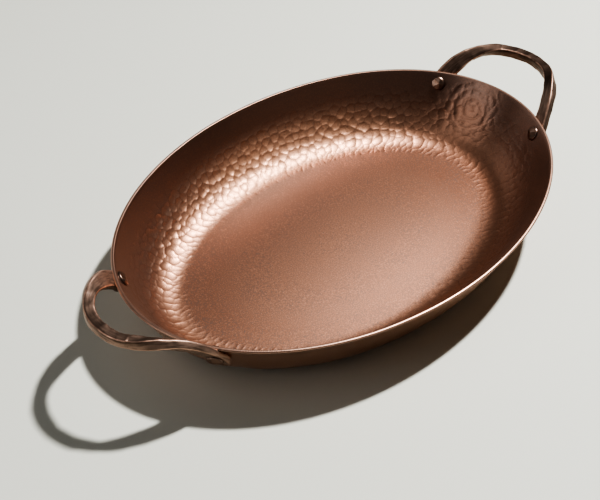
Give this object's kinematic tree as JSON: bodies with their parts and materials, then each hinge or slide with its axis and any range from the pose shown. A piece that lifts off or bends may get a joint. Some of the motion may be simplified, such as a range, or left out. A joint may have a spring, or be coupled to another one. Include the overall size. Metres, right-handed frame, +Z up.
{
  "type": "oval hammered copper pan",
  "caption": "Oval open pan of hammered copper with a flat floor, a coved flaring wall, and a riveted forged strap loop handle at each end for lifting, serving or oven use.",
  "frame": {"origin": "middle of the flat underside, on the surface that the pan stands on", "axes": "+X along the long axis towards the right handle, +Y across towards the back rivets, +Z up out of the open mouth"},
  "size_m": [0.4544, 0.266, 0.0688],
  "materials": {
    "pan_copper": "satin antiqued copper, hammered wall",
    "handle_copper": "dark antiqued copper, forged and hammered",
    "rivet_copper": "dark antiqued copper, rubbed bright on the crown"
  },
  "bodies": {
    "root": {"pan_body": "pan_copper", "handle_right": "handle_copper", "handle_left": "handle_copper", "rivet_right_back": "rivet_copper", "rivet_right_front": "rivet_copper", "rivet_left_back": "rivet_copper", "rivet_left_front": "rivet_copper"}
  },
  "joints": []
}
